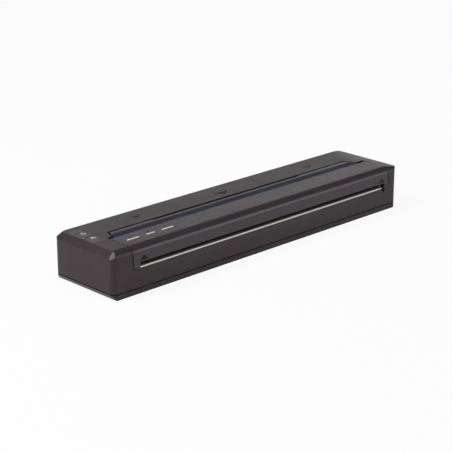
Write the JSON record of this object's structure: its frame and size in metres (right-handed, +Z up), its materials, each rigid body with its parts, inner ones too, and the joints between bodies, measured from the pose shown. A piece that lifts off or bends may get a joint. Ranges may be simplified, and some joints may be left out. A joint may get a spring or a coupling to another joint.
{
  "type": "a4 portable thermal printer",
  "caption": "Slim portable thermal printer bar: paper slot on top, mouth with tear bar in front, hinged release cover carrying the platen roller, sprung print head and gear drive.",
  "frame": {"origin": "middle of the outline, on the surface that the rubber feet stand on", "axes": "+X along the length towards the end with the sockets, -Y towards the paper mouth, +Z up"},
  "size_m": [0.255, 0.055, 0.0308],
  "materials": {
    "casing": "fine spark-eroded texture, near black with a warm tint",
    "cover": "fine spark-eroded texture, near black with a warm tint",
    "guide_strip": "satin dark navy",
    "inner_plastic": "smooth moulded black",
    "lens": "smoked clear, unlit",
    "board": "green solder mask",
    "rubber": "ground silicone rubber",
    "steel": "turned",
    "acetal": "natural moulded acetal",
    "brass": "turned",
    "sheet_steel": "zinc plated sheet",
    "tear_steel": "stamped stainless edge",
    "ceramic": "glazed ceramic",
    "aluminium": "as extruded",
    "spring_steel": "drawn wire and strip",
    "motor_can": "plated can",
    "battery_wrap": "shrink sleeve",
    "chip_plastic": "moulded",
    "ribbon": "flat cable",
    "key_plastic": "smooth satin, slightly lighter than the casing",
    "dark_screw": "black oxide",
    "foot_rubber": "moulded pad"
  },
  "bodies": {
    "base": {"bottom_shell": "casing", "upper_casing": "casing", "hinge_pins": "steel", "chassis": "sheet_steel", "lower_paper_guide": "inner_plastic", "rear_paper_guide": "inner_plastic", "paper_sensor": "inner_plastic", "tear_bar": "tear_steel", "head_pivot_pins": "steel", "head_springs": "spring_steel", "stepper_motor": "motor_can", "motor_screws": "steel", "gear_axles": "steel", "axle_clips": "spring_steel", "battery_bay": "inner_plastic", "battery_stick": "battery_wrap", "battery_contacts": "brass", "door_pins": "steel", "main_board": "board", "board_parts": "chip_plastic", "head_ribbon": "ribbon", "key_panel": "key_plastic", "key_board": "board", "key_switches": "chip_plastic", "port_board": "board", "power_jack": "inner_plastic", "data_port": "steel", "port_lead": "ribbon", "latch_clips": "spring_steel", "chassis_screws": "steel", "case_screws": "dark_screw", "feet": "foot_rubber"},
    "cover": {"release_cover": "cover", "guide_strip": "guide_strip", "cover_frame": "inner_plastic", "indicator_lenses": "lens", "indicator_board": "board", "platen_bushes": "brass"},
    "platen": {"platen_roller": "rubber", "platen_shaft": "steel", "platen_gear": "acetal"},
    "idler": {"idler_gear": "acetal"},
    "reduction": {"reduction_gear": "acetal"},
    "rotor": {"motor_pinion": "brass", "motor_shaft": "steel"},
    "head": {"thermal_strip": "ceramic", "head_heat_sink": "aluminium"},
    "power_key": {"power_key": "key_plastic"},
    "feed_key": {"feed_key": "key_plastic"},
    "battery_door": {"battery_door": "casing"}
  },
  "joints": [
    {"name": "cover_hinge", "type": "hinge", "parent": "base", "child": "cover", "pos_m": [0, -0.0025, 0.0272], "axis": [-1, 0, 0], "range_deg": [0, 50]},
    {"name": "platen_spin", "type": "hinge", "parent": "cover", "child": "platen", "pos_m": [0, -0.008, 0.0235], "axis": [1, 0, 0], "continuous": true},
    {"name": "idler_spin", "type": "hinge", "parent": "base", "child": "idler", "pos_m": [0.113, 0.00222, 0.02108], "axis": [1, 0, 0], "continuous": true},
    {"name": "reduction_spin", "type": "hinge", "parent": "base", "child": "reduction", "pos_m": [0.114, 0.005, 0.01252], "axis": [1, 0, 0], "continuous": true},
    {"name": "motor_spin", "type": "hinge", "parent": "base", "child": "rotor", "pos_m": [0.114, 0.01589, 0.01405], "axis": [1, 0, 0], "continuous": true},
    {"name": "head_pivot", "type": "hinge", "parent": "base", "child": "head", "pos_m": [0, 0.006, 0.0246], "axis": [1, 0, 0], "range_deg": [0, 2.5], "stiffness_Nm_per_rad": 0.3, "springref_deg": -28.65, "deforming": ["head_springs"]},
    {"name": "power_press", "type": "slide", "parent": "base", "child": "power_key", "axis": [0, 0, -1], "range_m": [0, 0.0006], "stiffness_N_per_m": 400, "springref_m": -0.001},
    {"name": "feed_press", "type": "slide", "parent": "base", "child": "feed_key", "axis": [0, 0, -1], "range_m": [0, 0.0006], "stiffness_N_per_m": 400, "springref_m": -0.001},
    {"name": "battery_door_hinge", "type": "hinge", "parent": "base", "child": "battery_door", "pos_m": [0, 0.0064, 0.0017], "axis": [-1, 0, 0], "range_deg": [0, 75]}
  ],
  "couplings": [
    {"joint": "idler_spin", "follows": "platen_spin", "ratio": -0.75},
    {"joint": "reduction_spin", "follows": "platen_spin", "ratio": 1.5},
    {"joint": "motor_spin", "follows": "platen_spin", "ratio": -4}
  ]
}
